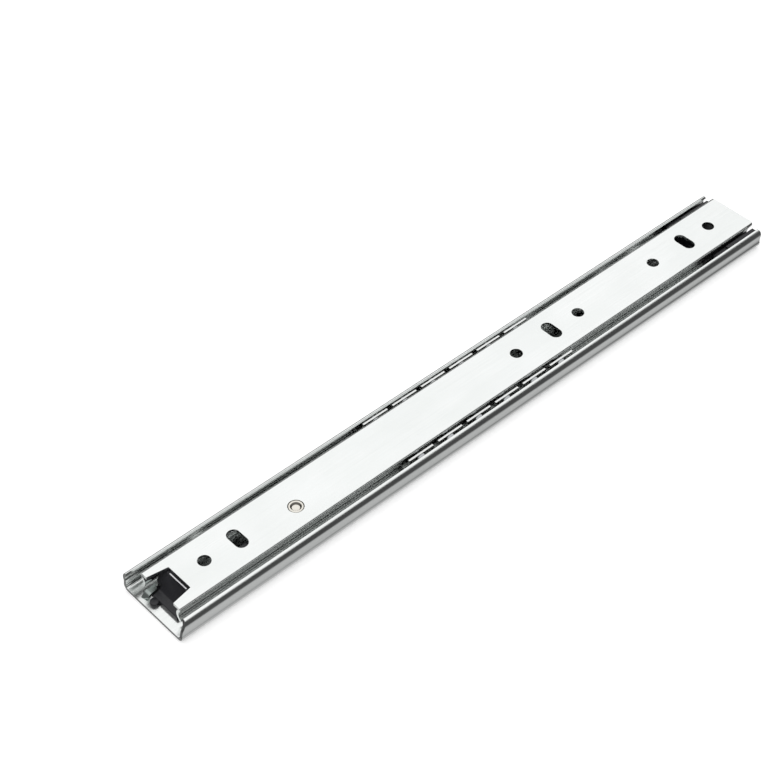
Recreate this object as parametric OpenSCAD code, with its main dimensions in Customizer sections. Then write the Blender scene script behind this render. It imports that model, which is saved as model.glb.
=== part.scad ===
// Two-section ball-bearing cabinet drawer slide, shown closed.
// The cabinet member lies on its back on Z = 0 and the drawer member faces up.
// X runs from the rear of the slide to the front, and the slide is centred on the origin.

/* [Slide] */
// closed length of the slide
slide_l = 278; // [278:1:290]
// overall width across the cabinet member
slide_w = 29.3; // [29.2:0.1:29.4]
// overall thickness, cabinet face to drawer face
slide_h = 9.5; // [9.4:0.1:9.8]
// thickness of the rail sheet
sheet_t = 1.1; // [1.0:0.05:1.15]

/* [Balls and retainer] */
// ball diameter
ball_d = 4.5; // [4.4:0.05:4.55]
// height of the ball centres
ball_z = 5.75; // [5.65:0.05:5.85]
// running gap between a ball and the groove it rolls in
ball_gap = 0.05; // [0.03:0.01:0.08]
// rear end of the retainer when the slide is closed
retainer_x = 98.4; // [90:0.2:98.4]
// distance from one ball to the next
ball_pitch = 13.5; // [13:0.1:14]
// width of the notch between two retainer tabs
notch_w = 2.35; // [1.8:0.05:3]
// thickness of the retainer strip
retainer_t = 0.8; // [0.6:0.05:0.9]

/* [Drawer member] */
// half width over the rolled shoulders
shoulder_w = 9.95; // [9.85:0.05:10]
// setback of the drawer member's rear end
drawer_rear = 3.5; // [3:0.5:5]
// screw hole diameter
hole_d = 4.6; // [4:0.1:4.8]
// slot width and end-to-end length, across the slide
slot_w = 4.7; // [4:0.1:5]
slot_l = 8.7; // [7:0.1:9]

/* [Cabinet member] */
// screw hole diameter in the cabinet member's back
floor_hole_d = 4.6; // [4:0.1:5]
// distance from the front end to the first cabinet screw hole
front_hole = 37; // [35:1:38]
// spacing of the two cabinet screw holes
hole_spacing = 192; // [160:32:192]

/* [Release lever] */
// centre of the lever rivet, from the rear end and from the centreline
rivet_x = 57.1; // [56:0.1:58]
rivet_y = -2.1; // [-2.5:0.1:-1.5]

/* [Hidden] */
$fn = 64;

// hole positions along the drawer member, from the rear end
round_holes = [21.1, 160.6, 192.1, 232.5, 263.8];
slots = [34.5, 178.4, 250.3];

ball_r = ball_d / 2;
race_r = ball_r + ball_gap;
race_mid = race_r + sheet_t / 2;
ball_y = slide_w / 2 - sheet_t - race_r;
lip_angle = 58;
neck_angle = 20;
shoulder_bend = 0.65;
cut = 40;
web_cut = slide_h - sheet_t - 1;

// retainer strip
balls_per_side = 6;
tab_l = ball_pitch - notch_w;
retainer_l = balls_per_side * tab_l + (balls_per_side - 1) * notch_w;
first_ball = retainer_x + tab_l / 2;
retainer_z = sheet_t + 0.3;
retainer_top = 8.4;
notch_z = 3.9;
cage_gap = 0.06;

// rear stop
bumper_top = 8.0;
bumper_w = 14.6;
step_x = 3.8;
ridge_top = 8.9;
nose_x = 2.7;
nose_y = 2.6;
nose_r = 1.5;

// front stop
stop_x = slide_l - 23.1;
arm_x = slide_l - 15;
plate_top = 2.3;
block_top = 6.6;
arm_top = 7.15;
catch_top = 4.6;
plate_w = 24.8;
block_y = 11.5;
block_w = 2.1;
arm_y = 11.2;
arm_w = 1.3;
joined = 0.1;

// lever
lever_top = slide_h - sheet_t - 0.1;
lever_low = 5.0;
lever_bore_gap = 0.05;
hook_x = 99.9;
pad_x = 123;
rivet_shank_r = 1.6;
rivet_head_r = 2.75;
rivet_z = 4.7;

steel = [0.82, 0.83, 0.84];
strip = [0.76, 0.77, 0.78];
ball_steel = [0.85, 0.86, 0.88];
plastic = [0.09, 0.09, 0.10];
nickel = [0.62, 0.58, 0.52];

// points of an arc about c, from angle a to angle b
function arc(c, r, a, b, n) =
    [for (i = [0 : n]) c + r * [cos(a + (b - a) * i / n), sin(a + (b - a) * i / n)]];
// unit normal to the left of the direction from p to q
function left(p, q) = [p[1] - q[1], q[0] - p[0]] / norm(q - p);
// miter offset of point i of path p to its left by d
function shifted(p, i, d) = let (
    n = len(p),
    a = i == 0 ? left(p[0], p[1]) : left(p[i - 1], p[i]),
    b = i == n - 1 ? a : left(p[i], p[i + 1]),
    m = (a + b) / norm(a + b)) p[i] + m * d / (m * a);
// closed outline of a sheet of thickness t whose middle follows path p
function sheet(p, t) = concat(
    [for (i = [0 : len(p) - 1]) shifted(p, i, t / 2)],
    [for (i = [len(p) - 1 : -1 : 0]) shifted(p, i, -t / 2)]);
// a half path and its mirror image as one path
function both_sides(p) = concat([for (i = [len(p) - 1 : -1 : 0]) [-p[i][0], p[i][1]]], p);

// middle of the cabinet member's sheet, from the centre of the floor to the lip
outer_path = let (r = 1.65, h = r + sheet_t / 2) concat(
    arc([slide_w / 2 - h, h], r, -90, 16, 8),
    [[slide_w / 2 - 0.73, 3.7]],
    arc([ball_y, ball_z], race_mid, -neck_angle, lip_angle, 9));

// middle of the drawer member's sheet, from the centre of the web to the lower edge
inner_path = let (r = shoulder_bend, c = [shoulder_w - r - sheet_t / 2, slide_h - sheet_t / 2 - r]) concat(
    arc(c, r, 90, -34, 8),
    arc([ball_y, ball_z], race_mid, 146, 215, 9),
    [[shoulder_w - sheet_t / 2, 3.4], [shoulder_w - sheet_t / 2, 2.85]]);

// middle of the retainer strip
retainer_path = concat(
    arc([ball_y - 0.8, retainer_z + retainer_t / 2 + 0.8], 0.8, -90, 0, 6),
    [[ball_y, retainer_top]]);

// a solid whose YZ outline runs from x = a to x = b, measured from the rear end
module along(a, b) translate([a - slide_l / 2, 0, 0])
    rotate([90, 0, 90])
        linear_extrude(b - a) children();

// a solid whose XY outline runs from z = a to z = b, with x measured from the rear end
module upright(a, b) translate([-slide_l / 2, 0, a])
    linear_extrude(b - a) children();

// a solid whose XZ outline is centred on y and is w wide, with x measured from the rear end
module across(y, w) translate([-slide_l / 2, y + w / 2, 0])
    rotate([90, 0, 0])
        linear_extrude(w) children();

// a slot as one box and two round ends
module slot_cut(x) upright(web_cut, slide_h + 1) {
    translate([x - slot_w / 2, -(slot_l - slot_w) / 2]) square([slot_w, slot_l - slot_w]);
    for (s = [-1, 1]) translate([x, s * (slot_l - slot_w) / 2]) circle(d = slot_w);
}

// tab lanced out of the floor, seen from above
tab_outline = [[0.9, 7.6], [2.2, 5.0], [5.8, 5.1], [7.0, 7.1]];

// lanced tab: it rises steeply from the floor and then runs almost level
module floor_tab() intersection() {
    upright(0, slide_h) polygon(tab_outline);
    across(6.3, 6) polygon([[0.8, 0], [1.7, 0], [3.5, 2.1], [7.3, 2.8], [7.3, 3.9], [3.0, 3.2],
        [1.3, sheet_t], [0.8, sheet_t]]);
}

module outer_rail() color(steel) {
    difference() {
        along(0, slide_l) polygon(sheet(both_sides(outer_path), sheet_t));
        // window the tab is bent out of
        upright(-1, sheet_t + 0.2) polygon([[1.7, 7.7], [1.7, 4.9], [6.0, 4.9], [7.2, 7.3]]);
        // right wall cut back at the rear
        across(-slide_w / 2, 8)
            polygon([[-1, 2], [0, 2], [0.7, 4.2], [2.4, 8.2], [2.4, 12], [-1, 12]]);
        // top front corners of the walls
        for (s = [-1, 1]) across(s * slide_w / 2, 8)
            polygon([[slide_l + 1, 7.2], [slide_l, 7.2], [slide_l - 0.4, 8.3], [slide_l - 0.4, 12],
                [slide_l + 1, 12]]);
        for (x = [slide_l - front_hole, slide_l - front_hole - hole_spacing])
            translate([x - slide_l / 2, 0, -1]) cylinder(d = floor_hole_d, h = 3);
    }
    floor_tab();
}

// rear stop: a low step, a slope up to a block with a ridge in the drawer member's notch, and a round nose
module rear_bumper() color(plastic) {
    difference() {
        across(0, bumper_w) polygon([[step_x, sheet_t], [19.5, sheet_t], [19.5, 5.2], [16, bumper_top],
            [10.2, bumper_top], [6.2, 3.0], [step_x, 2.6]]);
        // room for the lanced tab
        upright(sheet_t + 0.6, slide_h) polygon([[3, 8], [7.7, 8], [7.7, 4.6], [3, 4.6]]);
        upright(0, slide_h) polygon([[3, 8], [3.9, 8], [3.9, 4.6], [3, 4.6]]);
    }
    across(-0.55, 8.5) polygon([[9.8, 7.0], [10.9, 7.0], [10.4, ridge_top], [10.1, ridge_top]]);
    // nose standing behind the block, and the web that joins them
    translate([nose_x - slide_l / 2, nose_y, sheet_t]) cylinder(r = nose_r, h = 1.4);
    upright(sheet_t, sheet_t + 0.9) translate([nose_x, nose_y - 1.1]) square([1.5, 2.6]);
}

// front stop: a plate on the floor, side blocks and arms in the ball channels, and a catch
module front_bumper() color(plastic) {
    upright(sheet_t, plate_top) translate([stop_x, -plate_w / 2]) square([slide_l - stop_x, plate_w]);
    for (s = [-1, 1]) {
        across(s * arm_y, arm_w) polygon([[arm_x - 1, plate_top - joined], [slide_l, plate_top - joined],
            [slide_l, arm_top], [arm_x - 1, arm_top]]);
        across(s * block_y, block_w) polygon([[stop_x, plate_top - joined], [arm_x, plate_top - joined],
            [arm_x, block_top], [stop_x + 0.8, block_top], [stop_x, block_top - 0.8]]);
    }
    // catch that the lever's hook meets at full travel
    across(-1.75, 5.5) polygon([[stop_x, plate_top - joined], [stop_x + 7, plate_top - joined],
        [stop_x + 5.5, catch_top], [stop_x, catch_top]]);
}

module inner_rail() color(steel) difference() {
    along(drawer_rear, slide_l) polygon(sheet(both_sides(inner_path), sheet_t));
    // lower front corners of the side flanges cut off
    across(0, cut) polygon([[slide_l + 1, 0], [slide_l - 3, 0], [slide_l - 3, 3], [slide_l, 7],
        [slide_l + 1, 7]]);
    // flared notch at the rear
    upright(web_cut, slide_h + 1) polygon([[2, 6.95], [drawer_rear, 6.8], [11.25, 5.5], [11.25, -5.5],
        [drawer_rear, -6.8], [2, -6.95]]);
    for (x = round_holes) translate([x - slide_l / 2, 0, web_cut]) cylinder(d = hole_d, h = 3);
    for (x = slots) slot_cut(x);
    translate([rivet_x - slide_l / 2, rivet_y, web_cut]) cylinder(r = rivet_head_r + 0.05, h = 3);
}

// flush rivet with a hollow upper end, holding the lever under the web
module lever_rivet() color(nickel) translate([rivet_x - slide_l / 2, rivet_y, 0]) rotate_extrude()
    polygon([[0, rivet_z - 0.9], [2.6, rivet_z - 0.9], [2.6, rivet_z], [rivet_shank_r, rivet_z + 0.2],
        [rivet_shank_r, lever_top - 0.9], [rivet_head_r, lever_top - 0.4], [rivet_head_r, slide_h - 0.12],
        [rivet_head_r - 0.12, slide_h], [1.75, slide_h], [1.6, slide_h - 0.8], [0, slide_h - 0.9]]);

// lever: hub, arm with the hook, finger pad, and a spring tail to the rear
module release_lever() color(plastic) {
    difference() {
        union() {
            upright(lever_low, lever_top - 0.9) {
                translate([rivet_x, rivet_y]) circle(r = 4.4);
                polygon([[rivet_x, rivet_y + 4.4], [70, 1.8], [pad_x + 1, 1.8], [pad_x + 1, -3.4], [70, -4.2],
                    [rivet_x, rivet_y - 4.4]]);
            }
            // spring tail passing under the rear slot
            upright(lever_low + 0.4, lever_top - 1.2)
                polygon([[rivet_x - 3, rivet_y + 1.0], [30, -1.6], [29, -5.4], [31, -5.6], [33.5, -3.6],
                    [rivet_x - 3, rivet_y - 1.4]]);
            // finger pad
            upright(lever_low - 0.2, lever_top - 0.9) polygon([[pad_x, 1.8], [pad_x + 2, 2.6],
                [pad_x + 11, 2.6], [pad_x + 12, 1.6], [pad_x + 12, -4.2], [pad_x + 11, -5.2],
                [pad_x + 2, -5.2], [pad_x, -3.4]]);
        }
        translate([rivet_x - slide_l / 2, rivet_y, 0]) cylinder(r = rivet_shank_r + lever_bore_gap, h = 12);
        // grip grooves across the pad's underside
        for (i = [0 : 3]) across(0, 12) translate([pad_x + 2.4 + 2 * i, 4]) square([0.9, 1.2]);
    }
    // hook that meets the catch
    upright(2.8, lever_low + 0.1)
        polygon([[hook_x - 7, 1.6], [hook_x, 3.4], [hook_x, -1.0], [hook_x - 7, -0.6]]);
}

// U-shaped strip with a row of tabs and ball windows along each side
module ball_retainer() color(strip) difference() {
    along(retainer_x, retainer_x + retainer_l) polygon(sheet(both_sides(retainer_path), retainer_t));
    for (i = [1 : balls_per_side - 1])
        across(0, cut) translate([retainer_x + i * ball_pitch - notch_w, 0])
            polygon([[0, notch_z], [notch_w, notch_z], [notch_w, 12], [0, 12]]);
    for (i = [0 : balls_per_side - 1])
        translate([first_ball + i * ball_pitch - slide_l / 2, cut / 2, ball_z])
            rotate([90, 0, 0]) cylinder(r = ball_r + cage_gap, h = cut);
    // openings along the middle of the strip
    for (i = [0 : 2]) upright(0, 3) translate([retainer_x + 8 + 22.5 * i, -6]) square([17.5, 12]);
}

module ball(side, i) color(ball_steel)
    translate([first_ball + (i - 1) * ball_pitch - slide_l / 2, side * ball_y, ball_z]) sphere(r = ball_r);

module ball_left_1() ball(1, 1);
module ball_left_2() ball(1, 2);
module ball_left_3() ball(1, 3);
module ball_left_4() ball(1, 4);
module ball_left_5() ball(1, 5);
module ball_left_6() ball(1, 6);
module ball_right_1() ball(-1, 1);
module ball_right_2() ball(-1, 2);
module ball_right_3() ball(-1, 3);
module ball_right_4() ball(-1, 4);
module ball_right_5() ball(-1, 5);
module ball_right_6() ball(-1, 6);

outer_rail();
rear_bumper();
front_bumper();
inner_rail();
lever_rivet();
release_lever();
ball_retainer();
ball_left_1();
ball_left_2();
ball_left_3();
ball_left_4();
ball_left_5();
ball_left_6();
ball_right_1();
ball_right_2();
ball_right_3();
ball_right_4();
ball_right_5();
ball_right_6();
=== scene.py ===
import math

import bmesh
import bpy
from mathutils import Matrix, Vector


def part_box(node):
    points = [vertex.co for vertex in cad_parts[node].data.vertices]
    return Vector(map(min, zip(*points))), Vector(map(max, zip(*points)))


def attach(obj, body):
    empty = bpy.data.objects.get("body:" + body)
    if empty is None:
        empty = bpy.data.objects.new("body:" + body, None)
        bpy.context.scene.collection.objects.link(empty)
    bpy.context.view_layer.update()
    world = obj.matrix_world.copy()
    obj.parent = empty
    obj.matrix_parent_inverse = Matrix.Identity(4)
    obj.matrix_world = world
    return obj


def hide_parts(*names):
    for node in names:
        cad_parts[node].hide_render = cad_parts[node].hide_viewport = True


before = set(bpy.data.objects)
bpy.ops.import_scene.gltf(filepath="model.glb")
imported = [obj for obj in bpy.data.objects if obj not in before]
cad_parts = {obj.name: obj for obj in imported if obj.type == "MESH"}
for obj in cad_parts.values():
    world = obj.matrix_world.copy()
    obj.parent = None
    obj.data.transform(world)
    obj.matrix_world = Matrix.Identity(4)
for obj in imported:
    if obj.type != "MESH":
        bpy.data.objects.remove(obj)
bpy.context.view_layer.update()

# Lengths are in millimetres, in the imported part's frame. Each piece is scaled to metres when it is finished.
MM = 0.001


def span(node):
    """Lowest and highest corner of a CAD node, in millimetres."""
    low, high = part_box(node)
    return low / MM, high / MM


RAIL_LOW, RAIL_HIGH = span("outer_rail")
WEB_LOW, WEB_HIGH = span("inner_rail")
CAGE_LOW, CAGE_HIGH = span("ball_retainer")
BALLS = {n: (span(n)[0] + span(n)[1]) / 2
         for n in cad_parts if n.startswith(("ball_left", "ball_right"))}

# Rails: ends and half width, sheet thickness, half width over the drawer member's shoulders, and bends.
REAR, FRONT = RAIL_LOW.x, RAIL_HIGH.x
HALF_W = 14.65
WEB_TOP = WEB_HIGH.z
SHEET = 1.1
SHOULDER = 9.95
FLOOR_BEND = 1.65
SHOULDER_BEND = 0.65

# Balls and races: the sheet's middle follows radius RACE_MID, and the lips end at LIP_ANGLE degrees.
BALL_Y, BALL_Z = BALLS["ball_left_1"].y, BALLS["ball_left_1"].z
BALL_R = 2.25
RACE_R = 2.3
RACE_MID = RACE_R + SHEET / 2
LIP_ANGLE = 58

# Holes and slots of the drawer member, from the rear end, and of the cabinet member, from the front end.
HOLES = (21.1, 160.6, 192.1, 232.5, 263.8)
HOLE_R = 2.3
SLOTS = (34.5, 178.4, 250.3)
SLOT_W, SLOT_L = 4.7, 8.7
FLOOR_HOLES = (37, 229)

# Rivet of the release lever, the hole it fills in the web, and the shank that the lever's hub turns on.
RIVET = Vector((REAR + 57.1, -2.1))
RIVET_HOLE_R = 2.8
SHANK_R = 1.6
SHANK_GAP = 0.05
HUB_R = 4.4

# Retainer strip: thickness, ball spacing, the notch between two tabs and the gap round a ball.
CAGE_T = 0.8
CAGE_BEND = 0.8
PITCH = BALLS["ball_left_2"].x - BALLS["ball_left_1"].x
NOTCH = 2.35
WINDOW_GAP = 0.06

# How far a cutting solid reaches, so that it passes right through what it cuts.
REACH = 20

# Angles below FLAT degrees are flattened and points closer than WELD are merged in a finished piece.
FLAT = 0.2
WELD = 0.004


# ---------------------------------------------------------------- outlines

def arc(cx, cy, r, a, b, step=6):
    """Points from angle a to angle b, in degrees, on a circle about (cx, cy)."""
    n = max(2, math.ceil(abs(b - a) / step))
    turns = [math.radians(a + (b - a) * i / n) for i in range(n + 1)]
    return [Vector((cx + r * math.cos(t), cy + r * math.sin(t))) for t in turns]


def circle(cx, cy, r, step=6):
    """A full circle, with its first point given once."""
    return arc(cx, cy, r, 0, 360 - step, step)


def along(x, *corners):
    """Corners whose first number is measured from x."""
    return [(x + corner[0], *corner[1:]) for corner in corners]


def rounded(corners, r=0, step=15):
    """A closed outline with each corner rounded to radius r, or to its own radius as a third number."""
    points = []
    n = len(corners)
    for i, corner in enumerate(corners):
        radius = corner[2] if len(corner) > 2 else r
        p = Vector(corner[:2])
        a = (Vector(corners[i - 1][:2]) - p).normalized()
        b = (Vector(corners[(i + 1) % n][:2]) - p).normalized()
        half = a.angle(b) / 2
        if radius <= 0 or half > math.radians(88):
            points.append(p)
            continue
        centre = p + (a + b).normalized() * radius / math.sin(half)
        start = (p + a * radius / math.tan(half)) - centre
        end = (p + b * radius / math.tan(half)) - centre
        turn = start.angle_signed(end)
        steps = max(2, math.ceil(abs(math.degrees(turn)) / step))
        for k in range(steps + 1):
            points.append(centre + Matrix.Rotation(-turn * k / steps, 2) @ start)
    return points


def stadium(cx, cy, width, length, step=7.5):
    """A slot's outline, with its length along the second axis."""
    reach = (length - width) / 2
    return arc(cx, cy + reach, width / 2, 0, 180, step) + arc(cx, cy - reach, width / 2, 180, 360, step)


def sheet_outline(path, t, edge=0.22):
    """Closed outline of a sheet t thick whose middle follows path, with its two edges rounded off."""
    last = len(path) - 1
    directions = [(path[min(i + 1, last)] - path[max(i - 1, 0)]).normalized() for i in range(last + 1)]
    quarter = [math.radians(a) for a in (0, 22, 44, 66, 88, 90)]

    def side(i, d):
        before = (path[i] - path[i - 1]).normalized() if i else directions[0]
        after = (path[i + 1] - path[i]).normalized() if i < last else before
        normal = (before + after).normalized().orthogonal()
        return path[i] + normal * d / max(0.5, normal.dot(before.orthogonal()))

    def end(i, sign):
        out = directions[i] * sign
        left = out.orthogonal()
        core = path[i] - out * edge
        rim = left * (t / 2 - edge)
        upper = [core + rim + (left * math.cos(a) + out * math.sin(a)) * edge for a in quarter]
        lower = [core - rim + (-left * math.cos(a) + out * math.sin(a)) * edge for a in reversed(quarter)]
        return upper + lower

    inner = range(1, last)
    return ([side(i, t / 2) for i in inner] + end(last, 1)
            + [side(i, -t / 2) for i in reversed(inner)] + end(0, -1))


def mirrored(half):
    """A path from the edge at -Y, across the middle, to the edge at +Y."""
    return [Vector((-p.x, p.y)) for p in reversed(half)] + half


# ---------------------------------------------------------------- meshes

def mesh_piece(name, bm):
    """A new object in millimetres from a bmesh."""
    bmesh.ops.remove_doubles(bm, verts=bm.verts, dist=1e-4)
    bmesh.ops.recalc_face_normals(bm, faces=bm.faces)
    mesh = bpy.data.meshes.new(name)
    bm.to_mesh(mesh)
    bm.free()
    obj = bpy.data.objects.new(name, mesh)
    bpy.context.scene.collection.objects.link(obj)
    return obj


def prism(name, outline, low, high, axis):
    """A solid whose outline, across the given axis, runs from low to high along it."""
    place = {
        "x": lambda p, h: (h, p.x, p.y),
        "y": lambda p, h: (p.x, h, p.y),
        "z": lambda p, h: (p.x, p.y, h),
    }[axis]
    bm = bmesh.new()
    ends = [[bm.verts.new(place(p, h)) for p in outline] for h in (low, high)]
    count = len(outline)
    for i in range(count):
        j = (i + 1) % count
        bm.faces.new((ends[0][i], ends[0][j], ends[1][j], ends[1][i]))
    bm.faces.new(ends[0])
    bm.faces.new(reversed(ends[1]))
    return mesh_piece(name, bm)


def lathe(name, outline, x, y, steps=64):
    """A solid turned about a vertical axis at (x, y), from a list of (radius, height)."""
    bm = bmesh.new()
    rings = []
    for r, z in outline:
        if r == 0:
            rings.append([bm.verts.new((x, y, z))])
            continue
        angles = [2 * math.pi * k / steps for k in range(steps)]
        rings.append([bm.verts.new((x + r * math.cos(a), y + r * math.sin(a), z)) for a in angles])
    for low, high in zip(rings, rings[1:]):
        for k in range(steps):
            j = (k + 1) % steps
            corners = [low[k % len(low)], low[j % len(low)], high[j % len(high)], high[k % len(high)]]
            bm.faces.new(list(dict.fromkeys(corners)))
    return mesh_piece(name, bm)


def bake(obj):
    """Applies the object's modifiers."""
    evaluated = obj.evaluated_get(bpy.context.evaluated_depsgraph_get())
    mesh = bpy.data.meshes.new_from_object(evaluated)
    obj.modifiers.clear()
    obj.data = mesh


def combine(obj, others, operation):
    """Joins, cuts or intersects the object with each other solid in turn, and removes those."""
    for other in others:
        boolean = obj.modifiers.new("combine", "BOOLEAN")
        boolean.operation = operation
        boolean.solver = "EXACT"
        boolean.object = other
        bpy.context.view_layer.update()
        bake(obj)
        bpy.data.objects.remove(other)


def cut(obj, *others):
    combine(obj, others, "DIFFERENCE")


def join(obj, *others):
    combine(obj, others, "UNION")


def finished(obj, body, material, slot, nodes=(), edge=0.1, segments=2, sharp=40):
    """Rounds the edges, scales to metres, and hands the piece over to its body and material."""
    bm = bmesh.new()
    bm.from_mesh(obj.data)
    bmesh.ops.dissolve_limit(bm, angle_limit=math.radians(FLAT), verts=bm.verts, edges=bm.edges)
    bmesh.ops.remove_doubles(bm, verts=bm.verts, dist=WELD)
    bm.to_mesh(obj.data)
    bm.free()
    if edge:
        bevel = obj.modifiers.new("edges", "BEVEL")
        bevel.width = edge
        bevel.segments = segments
        bevel.limit_method = "ANGLE"
        bevel.angle_limit = math.radians(sharp)
        bevel.miter_outer = "MITER_ARC"
        bake(obj)
    obj.data.transform(Matrix.Scale(MM, 4))
    obj.data.polygons.foreach_set("use_smooth", [True] * len(obj.data.polygons))
    obj.data.set_sharp_from_angle(angle=math.radians(sharp))
    normals = obj.modifiers.new("normals", "WEIGHTED_NORMAL")
    normals.keep_sharp = True
    bake(obj)
    obj.data.materials.clear()
    obj.data.materials.append(material)
    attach(obj, body)
    if nodes:
        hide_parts(*nodes)


# ---------------------------------------------------------------- materials

class Shader:
    """A material's node tree, with a short way to add and link nodes."""

    def __init__(self, name):
        self.material = bpy.data.materials.new(name)
        self.material.use_nodes = True
        self.tree = self.material.node_tree
        self.surface = self.tree.nodes["Principled BSDF"]

    def node(self, kind, settings=None, **values):
        made = self.tree.nodes.new(kind)
        for key, value in (settings or {}).items():
            setattr(made, key, value)
        for key, value in values.items():
            made.inputs[key.replace("_", " ")].default_value = value
        return made

    def link(self, source, target):
        self.tree.links.new(source, target)

    def noise(self, scale, stretch=(1, 1, 1), detail=3.0, rough=0.5):
        """Noise in the object's own metres: scale is in cycles per metre, stretched per axis."""
        place = self.node("ShaderNodeTexCoord")
        mapping = self.node("ShaderNodeMapping")
        mapping.inputs["Scale"].default_value = [scale * s for s in stretch]
        noise = self.node("ShaderNodeTexNoise", None, Scale=1.0, Detail=detail, Roughness=rough)
        self.link(place.outputs["Object"], mapping.inputs["Vector"])
        self.link(mapping.outputs["Vector"], noise.inputs["Vector"])
        return noise.outputs["Fac"]

    def math(self, operation, a, b=None):
        node = self.node("ShaderNodeMath", {"operation": operation})
        for socket, value in zip(node.inputs, (a, b)):
            if isinstance(value, (int, float)):
                socket.default_value = value
            elif value is not None:
                self.link(value, socket)
        return node.outputs["Value"]

    def axes(self):
        """The object's own coordinates, in metres."""
        parts = self.node("ShaderNodeSeparateXYZ")
        self.link(self.node("ShaderNodeTexCoord").outputs["Object"], parts.inputs["Vector"])
        return parts.outputs

    def distance(self, a, b):
        return self.math("SQRT", self.math("ADD", self.math("MULTIPLY", a, a), self.math("MULTIPLY", b, b)))

    def race_distance(self):
        """Distance from the line of ball centres on the nearer side."""
        place = self.axes()
        across = self.math("SUBTRACT", self.math("ABSOLUTE", place["Y"]), BALL_Y * MM)
        return self.distance(across, self.math("SUBTRACT", place["Z"], BALL_Z * MM))

    def spread(self, source, low, high, to_low, to_high):
        """Maps a value from one range to another, clamped."""
        node = self.node("ShaderNodeMapRange")
        for name, value in (("From Min", low), ("From Max", high), ("To Min", to_low), ("To Max", to_high)):
            node.inputs[name].default_value = value
        self.link(source, node.inputs["Value"])
        return node.outputs["Result"]

    def blend(self, factor, a, b, mode="MIX"):
        node = self.node("ShaderNodeMix", {"data_type": "RGBA", "blend_type": mode})
        self.link(factor, node.inputs["Factor"])
        for source, name in ((a, "A"), (b, "B")):
            socket = next(s for s in node.inputs if s.name == name and s.type == "RGBA")
            if isinstance(source, tuple):
                socket.default_value = (*source, 1)
            else:
                self.link(source, socket)
        return next(s for s in node.outputs if s.type == "RGBA")

    def bump(self, height, distance, strength=1.0, under=None):
        node = self.node("ShaderNodeBump", None, Strength=strength, Distance=distance)
        self.link(height, node.inputs["Height"])
        if under is not None:
            self.link(under, node.inputs["Normal"])
        return node.outputs["Normal"]


# Colours of the painted shade in the ball races, of bare sheared steel and of the painted shade on the rivet's
# head.
RACE_SHADE_COLOUR = (0.16, 0.165, 0.16)
SHEARED = (0.14, 0.145, 0.14)
RIVET_SHADE_COLOUR = (0.05, 0.045, 0.04)
# Height of the thin line on the balls' track that is left out of the painted shade in the races.
TRACK_Z = 4.85
# Radius of the wall of the dimple in the rivet's head.
DIMPLE_R = 1.62


def plated(name, light, dark, rough_low, rough_high, shade_races_and_shear_ends=False):
    """Bright zinc plate on rolled strip: faint cloudy tone, fine streaks along X and small pits.

    When the flag is set, the ball races get painted shade, left out along a thin line on the balls'
    track, and the sheared ends of the rail are darker.
    """
    s = Shader(name)
    s.surface.inputs["Metallic"].default_value = 1.0
    clouds = s.noise(70, (0.5, 1, 1), 4)
    streaks = s.noise(2200, (0.012, 1, 1), 5, 0.65)
    grain = s.noise(5200, (1, 1, 1), 2)
    tone = s.blend(s.spread(clouds, 0.3, 0.7, 0, 1), dark, light)
    tone = s.blend(s.spread(streaks, 0.35, 0.75, 0, 0.35), tone, dark)
    if shade_races_and_shear_ends:
        # Painted shade: darkens the inner faces of the ball race grooves above 4.3 mm, except along a thin
        # line on the balls' track.
        race_shade = s.spread(s.race_distance(), 2.62 * MM, 2.35 * MM, 0, 0.3)
        height = s.axes()["Z"]
        off_track = s.math("ABSOLUTE", s.math("SUBTRACT", height, TRACK_Z * MM))
        track = s.spread(off_track, 0.2 * MM, 0.32 * MM, 0, 1)
        above = s.spread(height, 4.1 * MM, 4.3 * MM, 0, 1)
        race_shade = s.math("MULTIPLY", race_shade, s.math("MULTIPLY", track, above))
        tone = s.blend(race_shade, tone, RACE_SHADE_COLOUR)
        from_middle = s.math("ABSOLUTE", s.axes()["X"])
        sheared = s.spread(from_middle, (FRONT - 0.08) * MM, (FRONT - 0.03) * MM, 0, 0.85)
        tone = s.blend(sheared, tone, SHEARED)
    s.link(tone, s.surface.inputs["Base Color"])
    s.link(s.spread(streaks, 0.3, 0.7, rough_low, rough_high), s.surface.inputs["Roughness"])
    rolled = s.bump(streaks, 0.003 * MM, 0.3)
    s.link(s.bump(grain, 0.001 * MM, 0.15, rolled), s.surface.inputs["Normal"])
    return s.material


def polished_steel():
    """Bearing steel, darkened as painted shade for balls that sit in the channel, with a faint worn haze."""
    s = Shader("bearing_steel")
    s.surface.inputs["Metallic"].default_value = 1.0
    haze = s.noise(1500, (1, 1, 1), 4)
    s.link(s.blend(haze, (0.34, 0.35, 0.36), (0.42, 0.43, 0.44)), s.surface.inputs["Base Color"])
    s.link(s.spread(haze, 0.3, 0.7, 0.05, 0.14), s.surface.inputs["Roughness"])
    return s.material


def nickel():
    """Warm nickel, with painted shade round the wall of the dimple and round the rim of the head."""
    s = Shader("nickel_plate")
    s.surface.inputs["Metallic"].default_value = 1.0
    fleck = s.noise(2600, (1, 1, 1), 4)
    tone = s.blend(fleck, (0.66, 0.63, 0.57), (0.80, 0.78, 0.72))
    place = s.axes()
    across = [s.math("SUBTRACT", place[axis], centre * MM) for axis, centre in zip("XY", RIVET)]
    radius = s.distance(*across)
    off_wall = s.math("ABSOLUTE", s.math("SUBTRACT", radius, DIMPLE_R * MM))
    wall = s.spread(off_wall, 0.3 * MM, 0.2 * MM, 0, 0.92)
    rim = s.spread(radius, 2.5 * MM, 2.6 * MM, 0, 0.85)
    # Painted shade: the dimple's wall and the rim of the head are darkened.
    tone = s.blend(s.math("MAXIMUM", wall, rim), tone, RIVET_SHADE_COLOUR)
    s.link(tone, s.surface.inputs["Base Color"])
    s.link(s.spread(fleck, 0.3, 0.7, 0.22, 0.36), s.surface.inputs["Roughness"])
    s.link(s.bump(fleck, 0.01 * MM, 0.5), s.surface.inputs["Normal"])
    return s.material


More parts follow.
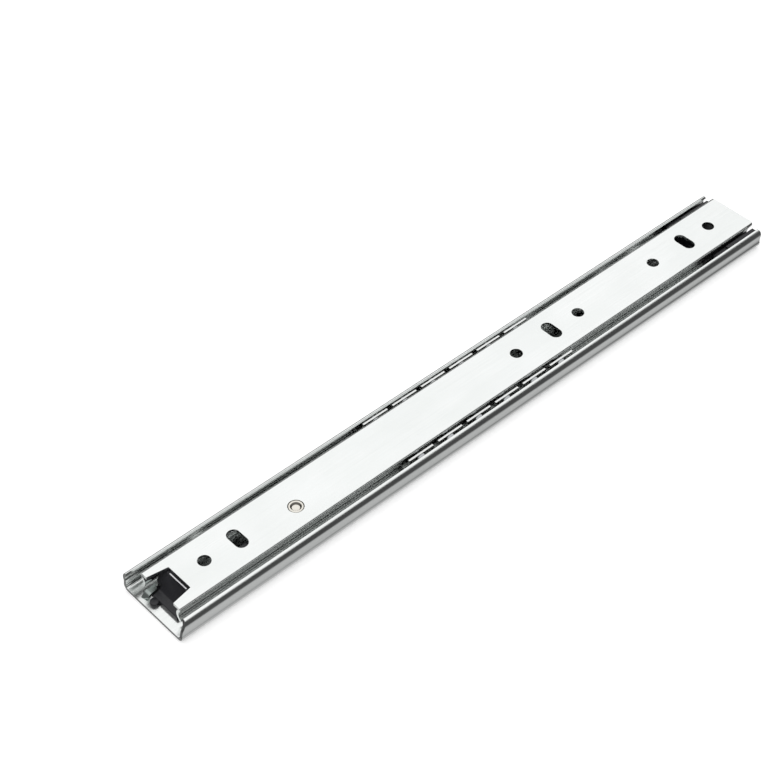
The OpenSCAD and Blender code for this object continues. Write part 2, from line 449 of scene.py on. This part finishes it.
def moulded(name, colour, lighter):
    """Satin black plastic with a fine spark-eroded grain and faint flow marks."""
    s = Shader(name)
    grain = s.noise(4200, (1, 1, 1), 3)
    flow = s.noise(160, (0.4, 1, 1), 3)
    s.link(s.blend(s.spread(flow, 0.35, 0.7, 0, 1), colour, lighter), s.surface.inputs["Base Color"])
    s.link(s.spread(grain, 0.3, 0.7, 0.38, 0.55), s.surface.inputs["Roughness"])
    s.link(s.bump(grain, 0.02 * MM, 0.5), s.surface.inputs["Normal"])
    return s.material


# Rail zinc, with painted shade in its ball races.
ZINC = plated("bright_zinc", (0.80, 0.815, 0.81), (0.74, 0.76, 0.75), 0.16, 0.26, shade_races_and_shear_ends=True)
STRIP = plated("strip_zinc", (0.76, 0.77, 0.76), (0.68, 0.69, 0.68), 0.2, 0.3)
# A darker copy of the plated zinc for the floor tab, which is cut from the same sheet as the rail: painted
# shade on the tab.
SHADED_TAB_ZINC = plated("tab_zinc_painted_shade", (0.42, 0.46, 0.44), (0.30, 0.34, 0.33), 0.3, 0.42)
SHADED_BALL_STEEL = polished_steel()
NICKEL = nickel()
LEVER_BLACK = moulded("lever_plastic", (0.018, 0.018, 0.021), (0.026, 0.026, 0.03))
STOP_BLACK = moulded("bumper_plastic", (0.008, 0.008, 0.011), (0.013, 0.013, 0.017))
# Light grey plastic for a painted highlight on the rear stop's ridge.
RIDGE_HIGHLIGHT_GREY = moulded("ridge_highlight_plastic", (0.60, 0.60, 0.62), (0.72, 0.72, 0.73))


# ---------------------------------------------------------------- pieces

def cabinet_rail():
    """The C-shaped rail, with its walls cut back at the rear and relieved at the front."""
    corner = FLOOR_BEND + SHEET / 2
    half = (arc(HALF_W - corner, corner, FLOOR_BEND, -90, 18)
            + [Vector((HALF_W - 0.76, 3.6))]
            + arc(BALL_Y, BALL_Z, RACE_MID, -21, LIP_ANGLE, 5))
    rail = prism("cabinet_rail", sheet_outline(mirrored(half), SHEET), REAR, FRONT, "x")
    rear = along(REAR, (-1, 2, 0), (0, 2), (0.7, 4.2, 3), (2.4, 8.2), (2.4, 12, 0), (-1, 12, 0))
    front = along(FRONT, (1, 7.2, 0), (0, 7.2), (-0.4, 8.3), (-0.4, 12, 0), (1, 12, 0))
    right_wall, left_wall = (-HALF_W - 4, -HALF_W + 4), (HALF_W - 4, HALF_W + 4)
    tools = [prism("rear_cut", rounded(rear, 0.5), *right_wall, "y")]
    for wall in (right_wall, left_wall):
        tools.append(prism("front_cut", rounded(front, 0.4), *wall, "y"))
    window = rounded(along(REAR, (1.7, 7.7), (1.7, 4.9), (6.0, 4.9), (7.2, 7.3)), 0.3)
    tools.append(prism("window", window, -1, 1.3, "z"))
    tools += [prism("hole", circle(FRONT - x, 0, HOLE_R, 7.5), -1, 3, "z") for x in FLOOR_HOLES]
    cut(rail, *tools)
    finished(rail, "cabinet_member", ZINC, "zinc_plated_steel", ["outer_rail"])


def floor_tab():
    """The tab lanced out of the cabinet member's floor and bent up."""
    plan = along(REAR, (0.9, 7.6), (2.2, 5.0), (5.8, 5.1), (7.0, 7.1))
    side = along(REAR, (0.8, 0.02), (1.7, 0.02, 0), (3.5, 2.1, 1.2), (7.3, 2.8), (7.3, 3.9), (3.0, 3.2, 2),
                 (1.3, 1.13, 0), (0.8, 1.13))
    tab = prism("floor_tab", rounded(plan, 0.3), 0, 8, "z")
    slab = prism("slab", rounded(side, 0.1), 0, 12, "y")
    combine(tab, [slab], "INTERSECT")
    # The tab's darker zinc is painted shade.
    finished(tab, "cabinet_member", SHADED_TAB_ZINC, "zinc_plated_steel")


def drawer_rail():
    """The shallow rail, with the notch at its rear, its front corners cut, and its holes and slots."""
    rear, front = WEB_LOW.x, WEB_HIGH.x
    flange = SHOULDER - SHEET / 2
    half = (arc(flange - SHOULDER_BEND, WEB_TOP - SHEET / 2 - SHOULDER_BEND, SHOULDER_BEND, 90, -34, 7)
            + arc(BALL_Y, BALL_Z, RACE_MID, 146, 215, 5)
            + [Vector((flange, 3.4)), Vector((flange, 2.85))])
    rail = prism("drawer_rail", sheet_outline(mirrored(half), SHEET), rear, front, "x")
    notch = [(rear - 2, 6.95, 0), (rear, 6.8, 0), (REAR + 11.25, 5.5), (REAR + 11.25, -5.5),
             (rear, -6.8, 0), (rear - 2, -6.95, 0)]
    corner = along(front, (1, 0), (-3, 0), (-3, 3), (0, 7), (1, 7))
    low, high = WEB_TOP - SHEET - 1, WEB_TOP + 1
    tools = [prism("notch", rounded(notch, 0.3), low, high, "z")]
    tools.append(prism("corner", rounded(corner), -REACH, REACH, "y"))
    tools += [prism("hole", circle(REAR + x, 0, HOLE_R), low, high, "z") for x in HOLES]
    tools += [prism("slot", stadium(REAR + x, 0, SLOT_W, SLOT_L), low, high, "z") for x in SLOTS]
    tools.append(prism("rivet_hole", circle(*RIVET, RIVET_HOLE_R), low, high, "z"))
    cut(rail, *tools)
    finished(rail, "drawer_member", ZINC, "zinc_plated_steel", ["inner_rail"])


def retainer_strip():
    """The U-shaped strip: a row of tabs with ball windows along each side, joined by an open floor."""
    middle = CAGE_LOW.z + CAGE_T / 2
    half = (arc(BALL_Y - CAGE_BEND, middle + CAGE_BEND, CAGE_BEND, -90, 0, 10)
            + [Vector((BALL_Y, CAGE_HIGH.z))])
    outline = sheet_outline(mirrored(half), CAGE_T, 0.2)
    strip = prism("retainer_strip", outline, CAGE_LOW.x, CAGE_HIGH.x, "x")
    row = [centre for name, centre in BALLS.items() if "left" in name]
    tools = []
    for i in range(1, len(row)):
        x = CAGE_LOW.x + i * PITCH - NOTCH
        gap = along(x, (0, 3.9), (NOTCH, 3.9), (NOTCH, 8.2, 0), (NOTCH + 0.5, 9, 0), (-0.5, 9, 0),
                    (0, 8.2, 0))
        tools.append(prism("gap", rounded(gap, 0.5), -REACH, REACH, "y"))
    for centre in row:
        window = circle(centre.x, centre.z, BALL_R + WINDOW_GAP)
        tools.append(prism("window", window, -REACH, REACH, "y"))
    for i in range(3):
        opening = along(CAGE_LOW.x + 8 + 22.5 * i, (0, -6), (17.5, -6), (17.5, 6), (0, 6))
        tools.append(prism("opening", rounded(opening, 1.5), 0, 3, "z"))
    cut(strip, *tools)
    finished(strip, "retainer", STRIP, "retainer_steel", ["ball_retainer"], edge=0.12)


def balls():
    """One ball for each ball node, on a body of its own."""
    for node, centre in BALLS.items():
        bm = bmesh.new()
        bmesh.ops.create_icosphere(bm, subdivisions=4, radius=BALL_R)
        bmesh.ops.translate(bm, verts=bm.verts, vec=centre)
        ball = mesh_piece(node.replace("ball", "bearing"), bm)
        finished(ball, node, SHADED_BALL_STEEL, "ball_steel", [node], edge=0)


def rivet():
    """The rivet from its closing head below the lever up to the dimpled head, flush with the web."""
    top = WEB_TOP
    below = [(0, 3.8), (2.4, 3.8), (2.6, 4.0), (2.6, 4.6), (2.5, 4.7), (SHANK_R, 4.9), (SHANK_R, 7.4)]
    head = [(2.75, 7.9), (2.75, top - 0.6), (2.7, top - 0.5), (2.5, top - 0.08), (2.4, top), (2.0, top),
            (1.9, top - 0.06)]
    dimple = [(1.42, top - 0.8), (1.2, top - 0.87), (0, top - 0.9)]
    turned = lathe("hollow_rivet", below + head + dimple, *RIVET)
    finished(turned, "drawer_member", NICKEL, "rivet_steel", ["lever_rivet"], edge=0, sharp=50)


def lever():
    """The release lever: hub, arm with a hook below it, finger pad with grooves, and spring tail."""
    x, y = RIVET
    pad = REAR + 123
    low, top = 5.0, 7.4
    hub = prism("lever_body", circle(x, y, HUB_R, 7.5), low, top, "z")
    arm = [(x, y + HUB_R), (REAR + 70, 1.8, 6), (pad + 1, 1.8), (pad + 1, -3.4), (REAR + 70, -4.2, 6),
           (x, y - HUB_R)]
    tail = [(x - 3, y + 1.0, 0), *along(REAR, (30, -1.6), (29, -5.4), (31, -5.6), (33.5, -3.6, 1)),
            (x - 3, y - 1.4, 0)]
    grip = along(pad, (0, 1.8, 0), (2, 2.6), (11, 2.6), (12, 1.6), (12, -4.2), (11, -5.2), (2, -5.2),
                 (0, -3.4, 0))
    claw = along(REAR + 99.9, (-7, 1.6), (0, 3.4), (0, -1.0), (-7, -0.6))
    join(hub, prism("arm", rounded(arm), low, top, "z"),
         prism("tail", rounded(tail, 0.5), 5.4, top - 0.3, "z"),
         prism("grip", rounded(grip, 0.8), 4.8, top, "z"),
         prism("claw", rounded(claw), 2.8, low + 0.1, "z"))
    tools = [prism("bore", circle(x, y, SHANK_R + SHANK_GAP, 7.5), 0, 12, "z")]
    for i in range(4):
        groove = along(pad + 2.4 + 2 * i, (0, 4), (0.9, 4), (0.9, 5.2), (0, 5.2))
        tools.append(prism("groove", rounded(groove), -6, 6, "y"))
    cut(hub, *tools)
    finished(hub, "lever", LEVER_BLACK, "lever_plastic", ["release_lever"], edge=0.2)


def stop_piece(obj, material=STOP_BLACK, nodes=(), **rounding):
    """Finishes a plastic piece that stays in the cabinet member."""
    finished(obj, "cabinet_member", material, "bumper_plastic", nodes, **rounding)


def rear_stop():
    """The rear stop block with its ridge, a painted highlight along the ridge's crest, and the round nose on
    its stem.
    """
    block = along(REAR, (3.8, SHEET, 0), (19.5, SHEET, 0), (19.5, 5.2), (16, 8.0, 2), (10.2, 8.0, 0),
                  (6.2, 3.0, 1.5), (3.8, 2.6))
    ridge = along(REAR, (9.8, 7.0, 0), (10.9, 7.0, 0), (10.4, 8.8), (10.1, 8.8))
    body = prism("rear_stop", rounded(block, 0.4), -7.3, 7.3, "y")
    join(body, prism("ridge", rounded(ridge, 0.1), -4.8, 3.7, "y"))
    pocket = rounded(along(REAR, (3, 8), (7.7, 8), (7.7, 4.6), (3, 4.6)))
    root = rounded(along(REAR, (3, 8), (3.9, 8), (3.9, 4.6), (3, 4.6)))
    cut(body, prism("pocket", pocket, SHEET + 0.6, 9, "z"), prism("root", root, 0, 9, "z"))
    stop_piece(body, nodes=["rear_bumper"], edge=0.18, segments=3)
    # A light grey strip on the ridge's crest is a painted highlight.
    edge = rounded(along(REAR, (10.02, 8.7), (10.48, 8.7), (10.4, 8.9), (10.1, 8.9)), 0.05)
    stop_piece(prism("ridge_highlight_strip", edge, -4.7, 3.6, "y"), RIDGE_HIGHLIGHT_GREY, edge=0)
    nose = [(0, SHEET), (1.5, SHEET), (1.5, 2.1), (1.4, 2.35), (1.1, 2.48), (0, 2.5)]
    stop_piece(lathe("stop_nose", nose, REAR + 2.7, 2.6, 48), edge=0)
    stem = rounded(along(REAR, (2.7, 1.5), (4.2, 1.5), (4.2, 4.1), (2.7, 4.1)))
    stop_piece(prism("nose_stem", stem, SHEET, 2.0, "z"), edge=0.12)


def front_stop():
    """The front stop: a plate on the floor, an arm and a block on each side, and the lever's catch."""
    stop, arm, plate = FRONT - 23.1, FRONT - 15, 2.3
    foot = plate - 0.1
    base = rounded([(stop, -12.4), (FRONT, -12.4), (FRONT, 12.4), (stop, 12.4)], 0.6)
    body = prism("front_stop", base, SHEET, plate, "z")
    arm_side = rounded([(arm - 1, foot), (FRONT, foot), (FRONT, 7.15, 0.6), (arm - 1, 7.15)])
    block_side = rounded([(stop, foot), (arm, foot), (arm, 6.6), (stop + 0.8, 6.6, 0.8), (stop, 5.8, 0.8)])
    parts = []
    for side in (-1, 1):
        for name, outline, y, half in (("arm", arm_side, 11.2, 0.65), ("block", block_side, 11.5, 1.05)):
            parts.append(prism(name, outline, side * y - half, side * y + half, "y"))
    catch = rounded([(stop, foot, 0), (stop + 7, foot, 0), (stop + 5.5, 4.6), (stop, 4.6)], 0.4)
    join(body, *parts, prism("catch", catch, -4.5, 1.0, "y"))
    stop_piece(body, nodes=["front_bumper"], edge=0.18, segments=3)


cabinet_rail()
floor_tab()
drawer_rail()
retainer_strip()
balls()
rivet()
lever()
rear_stop()
front_stop()


# ---------------------------------------------------------------- studio

# The floor lies this far under the slide, so that it doesn't share a plane with the slide's underside.
FLOOR_DROP = 0.05 * MM
# Brightness of the sky from straight down, at 0, to straight up, at 1.
SKY = ((0.0, 0.48), (0.20, 0.46), (0.27, 0.07), (0.67, 0.04), (0.74, 1.0), (1.0, 1.0))
SKY_STRENGTH = 1.2
# Camera: place in metres, directions, and lens in millimetres.
CAMERA_AT = (-0.3308, -0.3079, 0.4547)
CAMERA_LOOK = (0.48621, 0.51901, -0.70302)
CAMERA_RIGHT = (0.73507, -0.67795, 0.00788)
LENS, SENSOR = 86.7, 36


def floor():
    """White paper, left out of the reflections in the steel."""
    bpy.ops.mesh.primitive_plane_add(size=6, location=(0, 0, -FLOOR_DROP))
    plane = bpy.context.object
    plane.name = "studio_floor"
    plane.visible_glossy = False
    s = Shader("studio_floor")
    s.surface.inputs["Roughness"].default_value = 0.9
    s.surface.inputs["Specular IOR Level"].default_value = 0.1
    mottle = s.noise(3, (1, 1, 1), 2)
    s.link(s.blend(mottle, (0.88, 0.88, 0.88), (0.90, 0.90, 0.90)), s.surface.inputs["Base Color"])
    s.surface.inputs["Emission Color"].default_value = (1, 1, 1, 1)
    s.surface.inputs["Emission Strength"].default_value = 0.3
    plane.data.materials.append(s.material)


def sky():
    """Soft boxes overhead, a dark room towards the horizon, and paper below it."""
    world = bpy.data.worlds.new("studio")
    bpy.context.scene.world = world
    world.use_nodes = True
    nodes, links = world.node_tree.nodes, world.node_tree.links
    place = nodes.new("ShaderNodeTexCoord")
    parts = nodes.new("ShaderNodeSeparateXYZ")
    height = nodes.new("ShaderNodeMapRange")
    ramp = nodes.new("ShaderNodeValToRGB")
    height.inputs["From Min"].default_value = -1
    links.new(place.outputs["Generated"], parts.inputs["Vector"])
    links.new(parts.outputs["Z"], height.inputs["Value"])
    links.new(height.outputs["Result"], ramp.inputs["Fac"])
    for i, (position, value) in enumerate(SKY):
        stop = ramp.color_ramp.elements[i] if i < 2 else ramp.color_ramp.elements.new(position)
        stop.position = position
        stop.color = (value, value, value, 1)
    background = nodes["Background"]
    links.new(ramp.outputs["Color"], background.inputs["Color"])
    background.inputs["Strength"].default_value = SKY_STRENGTH


def camera():
    """The photo's view, looking down from the rear."""
    data = bpy.data.cameras.new("camera")
    data.lens = LENS
    data.sensor_width = SENSOR
    obj = bpy.data.objects.new("camera", data)
    bpy.context.scene.collection.objects.link(obj)
    look = Vector(CAMERA_LOOK).normalized()
    right = Vector(CAMERA_RIGHT).normalized()
    up = right.cross(look).normalized()
    turn = Matrix((right, up, -look)).transposed().to_4x4()
    obj.matrix_world = Matrix.Translation(CAMERA_AT) @ turn
    data.clip_start, data.clip_end = 0.01, 20
    bpy.context.scene.camera = obj


floor()
sky()
camera()
bpy.context.scene.view_settings.view_transform = "Standard"

bpy.context.view_layer.update()
